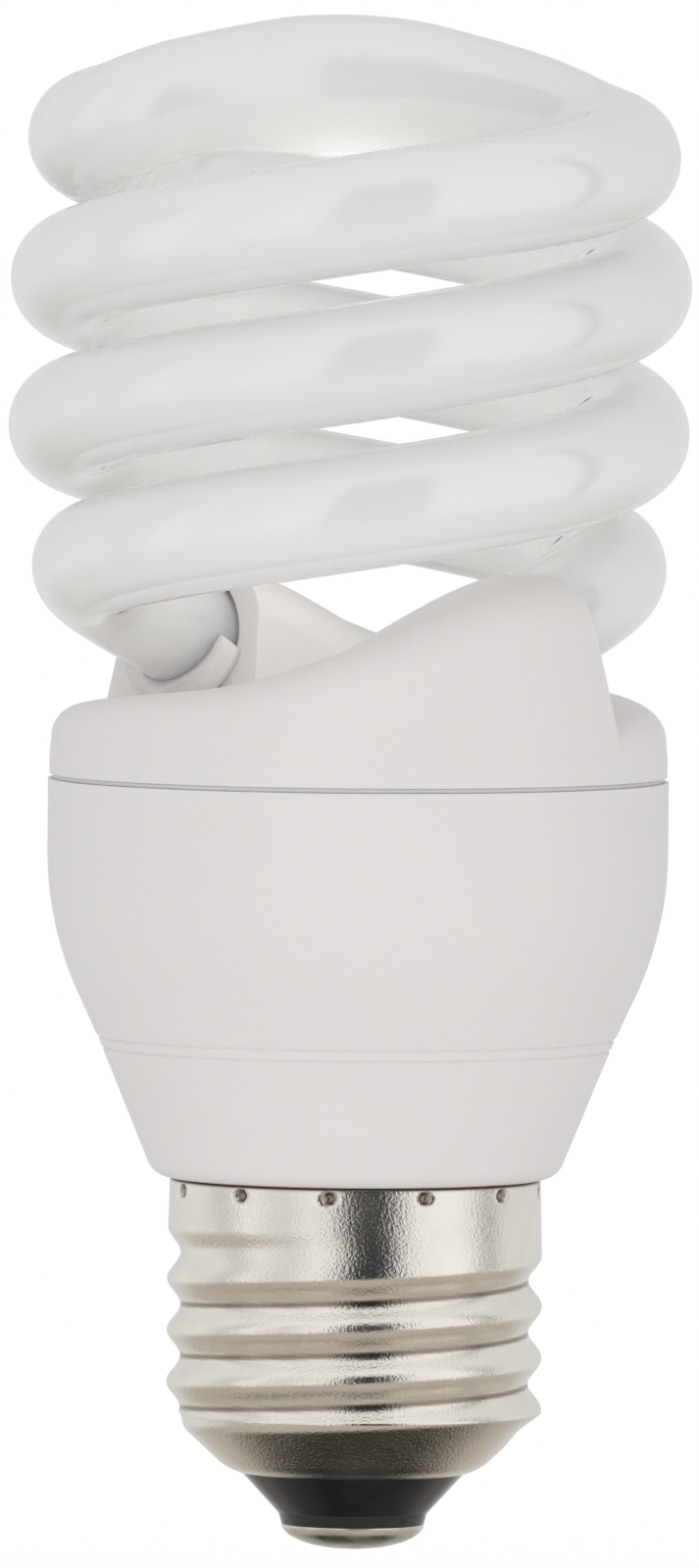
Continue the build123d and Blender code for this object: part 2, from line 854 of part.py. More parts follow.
def make_pieces():
    pieces = {
        "discharge_tube": make_discharge_tube(),
        "tube_holder": make_tube_holder(),
        "ballast_housing": make_ballast_housing(),
        "screw_shell": make_screw_shell(),
        "cap_insulator": make_cap_insulator(),
        "centre_contact": make_centre_contact(),
        "circuit_board": make_circuit_board(),
        "smoothing_capacitor": make_smoothing_capacitor(),
        "choke_core": make_choke_core(),
        "choke_bobbin": make_choke_bobbin(),
        "choke_winding": make_choke_winding(),
        "drive_toroid": make_drive_toroid(),
        "start_thermistor": make_start_thermistor(),
        "fusible_resistor": make_fusible_resistor(),
        "neutral_wire": make_neutral_wire(),
    }
    for name, sizes in film_capacitors.items():
        pieces[name] = make_film_capacitor(*sizes)
    for i, place in enumerate(transistor_places):
        pieces[f"transistor_{i + 1}"] = make_transistor(place)
    for i, angle in enumerate(diode_angles):
        pieces[f"rectifier_diode_{i + 1}"] = make_upright_part(diode_radius, diode_length, angle)
    for i, angle in enumerate(resistor_angles):
        pieces[f"resistor_{i + 1}"] = make_upright_part(resistor_radius, resistor_length, angle)
    number = 1
    for flip in (False, True):
        for side in (-1, 1):
            pieces[f"seal_wire_{number}"], pieces[f"wrap_pin_{number}"] = make_wire_and_pin(side, flip)
            number += 1
    pieces["tube_cement_1"] = make_tube_cement(False)
    pieces["tube_cement_2"] = make_tube_cement(True)
    return pieces


os.makedirs("parts", exist_ok=True)
for name, piece in make_pieces().items():
    export_step(piece, f"parts/{name}.step")
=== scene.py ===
import json
from math import acos, asin, atan2, ceil, cos, degrees, hypot, pi, radians, sin, sqrt, tan

import bpy
from mathutils import Matrix, Vector


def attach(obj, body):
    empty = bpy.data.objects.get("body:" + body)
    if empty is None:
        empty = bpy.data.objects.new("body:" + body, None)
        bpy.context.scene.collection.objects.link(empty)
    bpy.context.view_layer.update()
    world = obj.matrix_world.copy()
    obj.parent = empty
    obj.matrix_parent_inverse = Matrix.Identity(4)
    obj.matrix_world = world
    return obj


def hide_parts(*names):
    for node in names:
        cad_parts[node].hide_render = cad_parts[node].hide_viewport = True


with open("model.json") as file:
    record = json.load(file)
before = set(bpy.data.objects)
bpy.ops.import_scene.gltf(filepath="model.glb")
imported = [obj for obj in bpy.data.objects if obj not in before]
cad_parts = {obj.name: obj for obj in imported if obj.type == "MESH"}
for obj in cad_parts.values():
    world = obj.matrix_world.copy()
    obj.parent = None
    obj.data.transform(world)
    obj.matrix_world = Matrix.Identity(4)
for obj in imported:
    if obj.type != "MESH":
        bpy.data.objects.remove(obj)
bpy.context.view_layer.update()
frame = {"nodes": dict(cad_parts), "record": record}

# Camera, in metres
camera_distance = 1.7
camera_height = 0.130
view_centre = Vector((-0.00062, 0.0, 0.0537))
view_height = 0.1099
camera_roll = radians(0.45)
sensor_width = 36.0

# Room
floor_level = -0.02
floor_size = 0.6
floor_roughness = 0.9
floor_glow = 0.4
floor_fade_start = 0.1
floor_fade_end = 0.28
room_levels = [(0.0, 0.72), (0.5, 0.68), (1.0, 0.6)]
key_way = Vector((0.0, -1.0, 0.08))
key_strength = 0.8
key_inner = 0.97
key_outer = 0.8

# Weak lamps on the coil's axis: height in metres and power in watts
core_fill = [(0.069, 0.0009), (0.082, 0.0012), (0.094, 0.0014)]
core_fill_size = 0.005

# Studio that metal and gloss show: grey levels round the horizon from the back, with the front at 0.5
studio_ring = [
    (0.0, 0.72), (0.06, 0.75), (0.2, 0.85), (0.26, 0.62), (0.3, 1.0), (0.37, 0.72), (0.43, 0.97),
    (0.465, 0.85), (0.49, 0.03), (0.562, 0.03), (0.59, 0.95), (0.67, 1.0), (0.73, 0.95), (0.75, 0.1),
    (0.77, 0.8), (0.94, 0.75), (1.0, 0.72),
]
studio_ring_share = [(0.0, 0.0), (0.22, 0.0), (0.4, 1.0), (0.8, 1.0), (0.96, 0.0), (1.0, 0.0)]
studio_low = (0.5, 0.46, 0.4, 1.0)
studio_high = (0.95, 0.95, 0.95, 1.0)
studio_dark = (0.03, 0.025, 0.02, 1.0)
dark_way = Vector((0.0, 0.35, -0.94))
dark_inner = 0.96
dark_outer = 0.79

# Colours
glass_white = (0.86, 0.86, 0.845, 1.0)
plastic_white = (0.9, 0.87, 0.86, 1.0)
nickel = (0.9, 0.862, 0.8, 1.0)
# Brown-black painted shade for the cap's thread roots, dents and rim
painted_shade_colour = (0.16, 0.11, 0.07, 1.0)
tin = (0.8, 0.77, 0.7, 1.0)
black_glass = (0.008, 0.008, 0.011, 1.0)
black_glass_streak = (0.02, 0.02, 0.024, 1.0)
glass_dust = (0.2, 0.2, 0.2, 1.0)
floor_white = (0.82, 0.82, 0.82, 1.0)
full_white = (1.0, 1.0, 1.0, 1.0)

# Middle of a noise, and the share of cells that have no speck
noise_middle = (0.3, 0.7)
speck_rarity = 0.8

# Glass tube, in millimetres as all sizes below
tube_radius = 4.15
coil_radius = 19.7
coil_lead = 20.6
coil_mid_height = 78.55
leg_start_angle = 31.0
leg_inward_span = 82.0
leg_end_radius = 14.2
leg_end_angle = -74.0
leg_lead = 47.0
leg_bend_span = 40.0
bend_radius = 5.3
bridge_height = 102.45
bridge_level_length = 16.0
bridge_swell_half = 12.8
bridge_swell = 0.95
bridge_dip = 21.0
coil_shift = -0.8
coil_lean = 0.5
bridge_tilt = 1.4
right_pull = 0.27
left_pull = 0.75
pull_span = 40.0
crown_half = 3.0
crown_lift = 0.05
shoulder_start = 11.0
shoulder_end = 16.0
shoulder_drop = 0.6
tilt_start_height = 92.0
tilt_full_height = 101.0
ring_step = 0.55
ring_sides = 96
wrinkle_length = 2.3
wrinkle_drift = 0.31
wrinkle_end = 1.5
left_wrinkle = 0.2
right_wrinkle = 0.05

# Floors in the holder's mouths
mouth_drop = 0.8
mouth_reach = 0.6
mouth_bite = 0.05
mouth_start_angle = -47.0
mouth_end_angle = -37.0
mouth_inner_angle = 85.0
mouth_outer_angle = 93.5
mouth_steps = 24

# Seam between holder and housing
seam_low = 54.02
seam_high = 54.33
seam_inner_radius = 20.9
seam_radius = 21.42

# Screw cap
thread_pitch = 25.4 / 7
thread_depth = 0.95
thread_turns = 3.9
thread_top_angle = 284.0
thread_top_height = 21.8
thread_fade_angle = 115.0
thread_start_fade = 70.0
thread_foot_low = 7.0
thread_foot_high = 9.2
cap_radius = 13.15
cap_wall = 0.3
cap_lip_radius = 7.8
cap_turn_radius = 3.9
cap_turn_start = 9.6
cap_cone_angle = 43.0
cap_cone_top = 9.6
cap_flare_height = 20.0
cap_rim_radius = 13.0
cap_rim_height = 26.1
crimp_count = 12
crimp_angle = -98.0
crimp_height = 25.35
crimp_reach = 0.55
crimp_depth = 0.45
cap_step = 0.13
cap_sides = 360
cap_inner_skip = 5
rim_round = 0.25
# Painted shade on the cap: its strength, where it begins in the thread's roots, where it is full in the
# dents, and where it begins and is full below the rim
painted_shade_level = 0.8
root_shade_start = 0.95
dent_shade_full = 0.4
rim_shade_start = 0.3
rim_shade_full = 0.15

# Values that follow from the ones above
coil_end_angle = 540 - degrees(asin(bend_radius / (coil_radius - bend_radius)))
leg_knee_angle = (leg_end_angle + leg_start_angle) / 2
mm = 0.001


# Nodes of a material

def new_material(name):
    """An empty node material, with its tree and its shader."""
    material = bpy.data.materials.new(name)
    material.use_nodes = True
    tree = material.node_tree
    return material, tree, tree.nodes["Principled BSDF"]


def feed(tree, socket, value):
    """Sets a socket to a value, or links another node's output to it."""
    if isinstance(value, bpy.types.NodeSocket):
        tree.links.new(value, socket)
    else:
        socket.default_value = value


def add_node(tree, kind, **sockets):
    """A node with its input sockets fed by name, or by place as i0, i1 and i2."""
    node = tree.nodes.new(kind)
    for name, value in sockets.items():
        by_place = name[0] == "i" and name[1:].isdigit()
        feed(tree, node.inputs[int(name[1:]) if by_place else name], value)
    return node


def math_node(tree, operation, first, second=0.0, third=0.0):
    node = add_node(tree, "ShaderNodeMath", i0=first, i1=second, i2=third)
    node.operation = operation
    return node.outputs[0]


def vector_node(tree, operation, first, second=(0.0, 0.0, 0.0)):
    """The number that a vector operation gives."""
    node = add_node(tree, "ShaderNodeVectorMath", i0=first, i1=second)
    node.operation = operation
    return node.outputs["Value"]


def remapped(tree, value, source, target=(0.0, 1.0), kind="LINEAR"):
    """A number carried from one range to another and held at its ends."""
    node = add_node(tree, "ShaderNodeMapRange", Value=value)
    node.interpolation_type = kind
    for name, level in zip(("From Min", "From Max", "To Min", "To Max"), source + target):
        node.inputs[name].default_value = level
    return node.outputs["Result"]


def soft_ramp(tree, value, stops):
    """A grey level that runs smoothly through pairs of place and level."""
    node = add_node(tree, "ShaderNodeValToRGB", Fac=value)
    ramp = node.color_ramp
    ramp.interpolation = "EASE"
    for place, level in stops[1:-1]:
        ramp.elements.new(place)
    ramp.elements[0].position = stops[0][0]
    ramp.elements[-1].position = stops[-1][0]
    for element, (place, level) in zip(ramp.elements, stops):
        element.position = place
        element.color = (level, level, level, 1.0)
    return node.outputs["Color"]


def place_node(tree):
    return add_node(tree, "ShaderNodeTexCoord").outputs["Object"]


def noise(tree, place, scale, detail=2.0):
    """A cloudy grey level with the given number of features to a metre."""
    node = add_node(tree, "ShaderNodeTexNoise", Vector=place, Scale=scale, Detail=detail)
    return node.outputs["Fac"]


def spread(tree, value, low, high):
    """The middle of a noise, stretched from the low to the high level."""
    return remapped(tree, value, noise_middle, (low, high))


def specks(tree, place, scale, size):
    """Small round dots, one to a cell, with the given share of a cell as radius."""
    node = add_node(tree, "ShaderNodeTexVoronoi", Vector=place, Scale=scale)
    rare = math_node(tree, "GREATER_THAN", node.outputs["Color"], speck_rarity)
    near = math_node(tree, "LESS_THAN", node.outputs["Distance"], size)
    return math_node(tree, "MULTIPLY", rare, near)


def blend_colour(tree, share, first, second):
    node = add_node(tree, "ShaderNodeMix")
    node.data_type = "RGBA"
    for place, value in ((0, share), (6, first), (7, second)):
        feed(tree, node.inputs[place], value)
    return node.outputs[2]


def shaded(colour, share):
    return tuple(part * share for part in colour[:3]) + (1.0,)


def set_bump(tree, shader, height, strength, distance):
    bump = add_node(tree, "ShaderNodeBump", Height=height, Strength=strength, Distance=distance)
    tree.links.new(bump.outputs["Normal"], shader.inputs["Normal"])


def set_glow(shader, weight, colour, reach):
    """Light that soaks into the body and comes out again within the reach."""
    shader.inputs["Subsurface Weight"].default_value = weight
    shader.inputs["Subsurface Radius"].default_value = colour
    shader.inputs["Subsurface Scale"].default_value = reach


# Finishes

def make_glass_material():
    """White powder behind clear glass: faint clouds, fine grain and a few specks."""
    material, tree, shader = new_material("coated_glass")
    place = place_node(tree)
    clouds = spread(tree, noise(tree, place, 110.0), 0.0, 1.0)
    colour = blend_colour(tree, clouds, shaded(glass_white, 0.975), glass_white)
    grain = spread(tree, noise(tree, place, 1800.0, 4.0), 0.0, 0.5)
    colour = blend_colour(tree, grain, colour, shaded(glass_white, 0.985))
    colour = blend_colour(tree, specks(tree, place, 130.0, 0.03), colour, shaded(glass_white, 0.7))
    tree.links.new(colour, shader.inputs["Base Color"])
    tree.links.new(spread(tree, noise(tree, place, 60.0), 0.05, 0.1), shader.inputs["Roughness"])
    set_glow(shader, 1.0, (1.0, 1.0, 0.97), 0.012)
    shader.inputs["Coat Weight"].default_value = 1.0
    shader.inputs["Coat Roughness"].default_value = 0.03
    set_bump(tree, shader, noise(tree, place, 90.0), 0.05, 0.0004)
    return material


def make_plastic_material():
    """Satin moulded plastic: fine spark-eroded skin, faint flow clouds and dust."""
    material, tree, shader = new_material("satin_plastic")
    place = place_node(tree)
    clouds = spread(tree, noise(tree, place, 70.0), 0.0, 1.0)
    colour = blend_colour(tree, clouds, shaded(plastic_white, 0.98), plastic_white)
    colour = blend_colour(tree, specks(tree, place, 160.0, 0.035), colour, shaded(plastic_white, 0.8))
    tree.links.new(colour, shader.inputs["Base Color"])
    tree.links.new(spread(tree, noise(tree, place, 500.0), 0.36, 0.5), shader.inputs["Roughness"])
    set_glow(shader, 0.4, (1.0, 0.8, 0.65), 0.0006)
    set_bump(tree, shader, noise(tree, place, 3500.0, 3.0), 0.15, 0.00005)
    return material


def make_nickel_material():
    """Rolled nickel plate: grain drawn round the cap, stains and roughness in patches, and painted shade
    from the mesh in the thread's roots, the dents and along the rim.
    """
    material, tree, shader = new_material("nickel_plate")
    place = place_node(tree)
    drawn = add_node(tree, "ShaderNodeMapping", Vector=place, Scale=(1.0, 1.0, 9.0)).outputs["Vector"]
    stains = spread(tree, noise(tree, place, 240.0, 5.0), 0.0, 1.0)
    colour = blend_colour(tree, stains, shaded(nickel, 0.88), nickel)
    grain = spread(tree, noise(tree, drawn, 1500.0, 4.0), 0.0, 0.6)
    colour = blend_colour(tree, grain, colour, shaded(nickel, 0.9))
    colour = blend_colour(tree, specks(tree, place, 420.0, 0.09), colour, shaded(nickel, 0.35))
    # Painted shade, read from the mesh: dark in the thread's roots, the dents and along the rim
    layer = add_node(tree, "ShaderNodeAttribute")
    layer.attribute_name = "painted_shade"
    colour = blend_colour(tree, layer.outputs["Fac"], colour, painted_shade_colour)
    tree.links.new(colour, shader.inputs["Base Color"])
    shader.inputs["Metallic"].default_value = 1.0
    tree.links.new(spread(tree, noise(tree, place, 350.0, 4.0), 0.1, 0.2), shader.inputs["Roughness"])
    set_bump(tree, shader, noise(tree, place, 5000.0, 3.0), 0.8, 0.00004)
    return material


def make_tin_material():
    """Tinned brass: soft lumps of solder and dull patches."""
    material, tree, shader = new_material("tinned_contact")
    place = place_node(tree)
    patches = spread(tree, noise(tree, place, 500.0, 4.0), 0.0, 1.0)
    colour = blend_colour(tree, patches, shaded(tin, 0.72), tin)
    tree.links.new(colour, shader.inputs["Base Color"])
    shader.inputs["Metallic"].default_value = 1.0
    tree.links.new(spread(tree, noise(tree, place, 700.0), 0.22, 0.42), shader.inputs["Roughness"])
    set_bump(tree, shader, noise(tree, place, 420.0, 3.0), 0.35, 0.0002)
    return material


def make_black_glass_material():
    """Black glass poured in: a wavy skin, faint streaks and dust."""
    material, tree, shader = new_material("black_glass")
    place = place_node(tree)
    streaks = spread(tree, noise(tree, place, 260.0, 3.0), 0.0, 1.0)
    colour = blend_colour(tree, streaks, black_glass, black_glass_streak)
    colour = blend_colour(tree, specks(tree, place, 700.0, 0.07), colour, glass_dust)
    tree.links.new(colour, shader.inputs["Base Color"])
    tree.links.new(spread(tree, noise(tree, place, 300.0), 0.06, 0.16), shader.inputs["Roughness"])
    set_bump(tree, shader, noise(tree, place, 220.0), 0.3, 0.0003)
    return material


def make_inner_material(name, colour, roughness, metallic, scale):
    """A finish for a part inside the housing, with its colour and gloss in small patches."""
    material, tree, shader = new_material(name)
    place = place_node(tree)
    patches = spread(tree, noise(tree, place, scale, 4.0), 0.0, 1.0)
    mixed = blend_colour(tree, patches, shaded(colour, 0.8), shaded(colour, 1.0))
    tree.links.new(mixed, shader.inputs["Base Color"])
    shader.inputs["Metallic"].default_value = metallic
    gloss = spread(tree, noise(tree, place, 2 * scale), 0.8 * roughness, 1.2 * roughness)
    tree.links.new(gloss, shader.inputs["Roughness"])
    set_bump(tree, shader, noise(tree, place, 3 * scale), 0.1, 0.0001)
    return material


def make_finishes():
    """Each material slot of the record with its finish."""
    finishes = {
        "tube_glass": make_glass_material(),
        "housing_plastic": make_plastic_material(),
        "cap_metal": make_nickel_material(),
        "contact_metal": make_tin_material(),
        "insulator_glass": make_black_glass_material(),
    }
    inner = {
        "board_laminate": ((0.55, 0.38, 0.2), 0.6, 0.0, 900.0),
        "capacitor_sleeve": ((0.03, 0.04, 0.09), 0.3, 0.0, 300.0),
        "ferrite": ((0.05, 0.05, 0.055), 0.55, 0.0, 1500.0),
        "bobbin_plastic": ((0.04, 0.04, 0.04), 0.5, 0.0, 600.0),
        "copper_wire": ((0.62, 0.28, 0.12), 0.3, 1.0, 2000.0),
        "film_coating": ((0.4, 0.08, 0.05), 0.25, 0.0, 350.0),
        "disc_coating": ((0.12, 0.26, 0.12), 0.5, 0.0, 500.0),
        "moulded_black": ((0.025, 0.025, 0.025), 0.5, 0.0, 1200.0),
        "resistor_coating": ((0.6, 0.48, 0.3), 0.45, 0.0, 700.0),
        "tinned_wire": ((0.66, 0.65, 0.62), 0.3, 1.0, 900.0),
        "cement": ((0.75, 0.73, 0.68), 0.9, 0.0, 1100.0),
    }
    for slot, (colour, roughness, metallic, scale) in inner.items():
        finishes[slot] = make_inner_material(slot, colour, roughness, metallic, scale)
    return finishes


def dress(node, material):
    """Gives a CAD node its finish."""
    slots = frame["nodes"][node].data.materials
    slots.clear()
    slots.append(material)


# Meshes

def add_piece(name, points, faces, material, node=None):
    """A smooth mesh from points in millimetres, which may stand for a CAD node."""
    mesh = bpy.data.meshes.new(name)
    mesh.from_pydata([tuple(part * mm for part in point) for point in points], [], faces)
    mesh.shade_smooth()
    mesh.materials.append(material)
    piece = bpy.data.objects.new(name, mesh)
    bpy.context.scene.collection.objects.link(piece)
    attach(piece, "root")
    if node:
        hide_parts(node)
    return mesh


def smooth_step(share):
    share = min(max(share, 0.0), 1.0)
    return share * share * (3 - 2 * share)


def polar(radius, angle, height):
    return Vector((radius * cos(radians(angle)), radius * sin(radians(angle)), height))


# Glass tube

def coil_height(angle):
    return coil_mid_height + coil_lead * (angle - 180) / 360


def coil_point(angle):
    return polar(coil_radius, angle, coil_height(angle))


def coil_direction(angle):
    rise = coil_lead / (2 * pi * coil_radius)
    return Vector((-sin(radians(angle)), cos(radians(angle)), rise)).normalized()


def leg_point(angle):
    """The leg leaves the coil, closes in on the axis and dips more steeply to its seal."""
    inward = smooth_step((leg_start_angle - angle) / leg_inward_span)
    radius = coil_radius - (coil_radius - leg_end_radius) * inward
    below = max(0.0, leg_bend_span / 4 - angle)
    extra = (leg_lead - coil_lead) / 360
    if below < leg_bend_span:
        drop = extra * below ** 2 / leg_bend_span / 2
    else:
        drop = extra * (below - leg_bend_span / 2)
    return polar(radius, angle, coil_height(angle) - drop)


def leg_direction(angle):
    return (leg_point(angle + 0.5) - leg_point(angle - 0.5)).normalized()


def arc_points(start, way, end):
    """Points along the arc that leaves in a direction and reaches an end, without that end."""
    chord = end - start
    inward = (chord - way * chord.dot(way)).normalized()
    turn = 2 * chord.angle(way)
    radius = chord.length / (2 * sin(turn / 2))
    count = ceil(radius * turn / ring_step)
    angles = [turn * i / count for i in range(count)]
    return [start + way * (radius * sin(a)) + inward * (radius * (1 - cos(a))) for a in angles]


def two_arcs(start, start_way, end, end_way):
    """Points along two arcs in a row that leave along one direction and arrive along the other."""
    gap = end - start
    a = 2 * start_way.dot(end_way) - 2
    b = -2 * gap.dot(start_way + end_way)
    reach = (-b - sqrt(b * b - 4 * a * gap.dot(gap))) / (2 * a)
    first = start + start_way * reach
    second = end - end_way * reach
    middle = (first + second) / 2
    return arc_points(start, start_way, middle) + arc_points(middle, (second - first).normalized(), end)


def strand_point(angle, pull):
    """A point of the leg or the coil, drawn in by the pull where the lowest turn begins."""
    below = smooth_step((angle - leg_knee_angle) / pull_span)
    above = smooth_step((leg_start_angle + pull_span - angle) / pull_span)
    return leg_point(angle) - polar(pull * below * above, angle, 0)


def half_line(pull):
    """The tube's middle line, from the end of a leg to the middle of the bridge."""
    seal = leg_point(leg_end_angle)
    knee = leg_point(leg_knee_angle)
    line = two_arcs(seal, leg_direction(leg_end_angle), knee, leg_direction(leg_knee_angle))
    span = coil_end_angle - leg_knee_angle
    count = ceil(radians(span) * coil_radius / ring_step)
    line += [strand_point(leg_knee_angle + span * i / count, pull) for i in range(count)]
    foot_x = -sqrt((coil_radius - bend_radius) ** 2 - bend_radius ** 2)
    level_x = -bridge_level_length / 2
    slope = radians(bridge_dip)
    foot = Vector((foot_x, 0, bridge_height - (level_x - foot_x) * tan(slope / 2)))
    foot_way = Vector((cos(slope), 0, sin(slope)))
    line += two_arcs(coil_point(coil_end_angle), coil_direction(coil_end_angle), foot, foot_way)
    line += arc_points(foot, foot_way, Vector((level_x, 0, bridge_height)))
    count = ceil(-level_x / ring_step)
    line += [Vector((level_x * (1 - i / count), 0, bridge_height)) for i in range(count)]
    return line


def placed_coil(point):
    """The coil's shift and lean, and the tilt of its bridge."""
    middle = coil_height(270)
    lean = Matrix.Rotation(radians(coil_lean), 3, "Y")
    share = smooth_step((point.z - tilt_start_height) / (tilt_full_height - tilt_start_height))
    crown = 1 - smooth_step((abs(point.x) - crown_half) / (shoulder_start - crown_half))
    shoulder = (1 - crown) * (1 - smooth_step((abs(point.x) - shoulder_end) / (coil_radius - shoulder_end)))
    lift = crown_lift * crown - shoulder_drop * shoulder - tan(radians(bridge_tilt)) * point.x
    tilted = point + Vector((0, 0, lift * share))
    centre = Vector((0, 0, middle))
    return lean @ (tilted - centre) + centre + Vector((coil_shift, 0, 0))


def tube_width(point):
    """The tube's radius, which swells along the bridge."""
    on_bridge = point.z > bridge_height - tube_radius / 2 and abs(point.y) < tube_radius / 2
    if not on_bridge:
        return tube_radius
    return tube_radius + bridge_swell * smooth_step(1 - abs(point.x) / bridge_swell_half)


def wrinkle(point, out, along):
    """How far the glass is folded in or out on the lower inner side of the bridge's tight bends."""
    bend = polar(coil_radius - bend_radius, coil_end_angle, 0)
    depth = left_wrinkle
    if point.x > 0:
        bend = -bend
        depth = right_wrinkle
    inward = Vector((bend.x - point.x, bend.y - point.y, 0))
    if point.z <= tilt_start_height + tube_radius:
        return 0.0
    near = smooth_step((wrinkle_end - inward.length / bend_radius) / (wrinkle_end - 1))
    facing = max(0.0, out.dot((inward.normalized() - Vector((0, 0, 1))).normalized()))
    phase = 2 * pi * along / wrinkle_length
    return depth * near * facing * facing * sin(phase + sin(wrinkle_drift * phase))


def tube_faces(rings, sides):
    """Faces of a closed bar from rings of points, with a face at each end."""
    faces = []
    for i in range(rings - 1):
        low = i * sides
        high = low + sides
        for j in range(sides):
            k = (j + 1) % sides
            faces.append((low + j, low + k, high + k, high + j))
    faces.append(tuple(range(sides))[::-1])
    faces.append(tuple((rings - 1) * sides + j for j in range(sides)))
    return faces


def line_way(line, step):
    """The direction of a line at one of its points."""
    last = len(line) - 1
    return (line[min(step + 1, last)] - line[max(step - 1, 0)]).normalized()


def sweep(line, radius_at):
    """Points and faces of a closed round bar along a line, with its radius by step and direction."""
    points = []
    side = Vector((1, 0, 0))
    for i, centre in enumerate(line):
        way = line_way(line, i)
        side = (side - way * side.dot(way)).normalized()
        up = way.cross(side)
        for j in range(ring_sides):
            turn = 2 * pi * j / ring_sides
            out = side * cos(turn) + up * sin(turn)
            points.append(centre + out * radius_at(i, out))
    return points, tube_faces(len(line), ring_sides)


def half_turn(line):
    return [Vector((-p.x, -p.y, p.z)) for p in line]


def add_tube(material):
    bridge_middle = Vector((0, 0, bridge_height))
    line = half_line(right_pull) + [bridge_middle] + half_turn(half_line(left_pull))[::-1]

    def radius_at(step, out):
        return tube_width(line[step]) + wrinkle(line[step], out, step * ring_step)

    points, faces = sweep([placed_coil(p) for p in line], radius_at)
    add_piece("spiral_tube", points, faces, material, "discharge_tube")


def mouth_floor_ring(centre, way):
    """Points round a saddle that lies under the leg: along its lower side and back along its upper one."""
    down = (way * way.z - Vector((0, 0, 1))).normalized()
    across = way.cross(down)
    arcs = [
        (mouth_drop, tube_radius + mouth_reach, mouth_outer_angle),
        (0.0, tube_radius - mouth_bite, -mouth_inner_angle),
    ]
    ring = []
    for drop, radius, half_angle in arcs:
        for i in range(mouth_steps):
            turn = radians(half_angle) * (2 * i / (mouth_steps - 1) - 1)
            ring.append(centre + across * (radius * sin(turn)) + down * (radius * cos(turn) + drop))
    return ring


def add_mouth_floors(material):
    """The holder's floor under each leg, a little way inside its mouth."""
    leg = [p for p in half_line(0.0) if p.z < coil_height(0)]
    leg = [p for p in leg if mouth_start_angle < degrees(atan2(p.y, p.x)) < mouth_end_angle]
    for name, line in (("mouth_floor_1", leg), ("mouth_floor_2", half_turn(leg))):
        line = [placed_coil(p) for p in line]
        rings = [mouth_floor_ring(centre, line_way(line, i)) for i, centre in enumerate(line)]
        points = [point for ring in rings for point in ring]
        faces = tube_faces(len(rings), len(rings[0]))
        add_piece(name, points, faces, material)


# Screw cap

def cap_profile():
    """The cap's plain outline from the lip to the rim: radius, height and outward normal of each step."""
    lean = radians(cap_cone_angle)
    start = Vector((cap_turn_start, cap_cone_top - (cap_radius - cap_turn_start) * tan(lean)))
    middle = start + Vector((-sin(lean), cos(lean))) * cap_turn_radius
    first = -acos((cap_lip_radius - middle.x) / cap_turn_radius)
    final = lean - pi / 2
    spots = []
    count = ceil((final - first) * cap_turn_radius / cap_step)
    for i in range(count):
        angle = first + (final - first) * i / count
        normal = Vector((cos(angle), sin(angle)))
        spots.append((middle + normal * cap_turn_radius, normal))
    corners = [
        start,
        Vector((cap_radius, cap_cone_top)),
        Vector((cap_radius, cap_flare_height)),
        Vector((cap_rim_radius, cap_rim_height - rim_round)),
    ]
    for low, high in zip(corners, corners[1:]):
        run = high - low
        normal = Vector((run.y, -run.x)).normalized()
        count = ceil(run.length / cap_step)
        spots += [(low + run * (i / count), normal) for i in range(count)]
    middle = corners[-1] - Vector((rim_round, 0))
    count = ceil(pi / 2 * rim_round / cap_step)
    for i in range(count + 1):
        angle = pi / 2 * i / count
        normal = Vector((cos(angle), sin(angle)))
        spots.append((middle + normal * rim_round, normal))
    return spots


def groove_depth(angle, height):
    """How deep the rolled thread is at a place on the cap."""
    deepest = 0.0
    for turn in range(-ceil(thread_turns) - 1, 2):
        along = angle + 360 * turn
        if along > thread_top_angle or along < thread_top_angle - 360 * thread_turns:
            continue
        middle = thread_top_height - thread_pitch * (thread_top_angle - along) / 360
        off = abs(height - middle) / thread_pitch
        if off < 0.5:
            fade = smooth_step((thread_top_angle - along) / thread_fade_angle)
            fade *= smooth_step((along + 360 * thread_turns - thread_top_angle) / thread_start_fade)
            deepest = max(deepest, thread_depth * fade * (1 + cos(2 * pi * off)) / 2)
    return deepest * smooth_step((height - thread_foot_low) / (thread_foot_high - thread_foot_low))


def crimp_dent(angle, height):
    """How deep the punched dents under the rim are at a place on the cap."""
    step = 360 / crimp_count
    off = (angle - crimp_angle + step / 2) % step - step / 2
    reach = hypot(radians(off) * cap_rim_radius, height - crimp_height) / crimp_reach
    return crimp_depth * max(0.0, 1 - reach * reach)


def turned_faces(rows):
    """Faces of a closed skin from rows of points round the axis, the last row joined to the first."""
    faces = []
    for i in range(rows):
        low = i * cap_sides
        high = (i + 1) % rows * cap_sides
        for j in range(cap_sides):
            k = (j + 1) % cap_sides
            faces.append((low + j, low + k, high + k, high + j))
    return faces


def add_seam_lip(material):
    """The holder's lip that shows in the seam above the housing."""
    outline = [
        (seam_inner_radius, seam_low),
        (seam_radius, seam_low),
        (seam_radius, seam_high),
        (seam_inner_radius, seam_high),
    ]
    angles = [360 * j / cap_sides for j in range(cap_sides)]
    points = [polar(radius, angle, height) for radius, height in outline for angle in angles]
    add_piece("seam_lip", points, turned_faces(len(outline)), material)


def cap_painted_shade(angle, height):
    """How much painted shade darkens a place on the cap: in the thread's roots, the dents and along the
    rim, where shadow falls.
    """
    groove = groove_depth(angle, height) / thread_depth
    root = painted_shade_level * smooth_step((groove - root_shade_start) / (1 - root_shade_start))
    dent = painted_shade_level * smooth_step(crimp_dent(angle, height) / crimp_depth / dent_shade_full)
    below_rim = cap_rim_height - height
    rim = smooth_step((rim_shade_start - below_rim) / (rim_shade_start - rim_shade_full))
    return max(root, dent, rim)


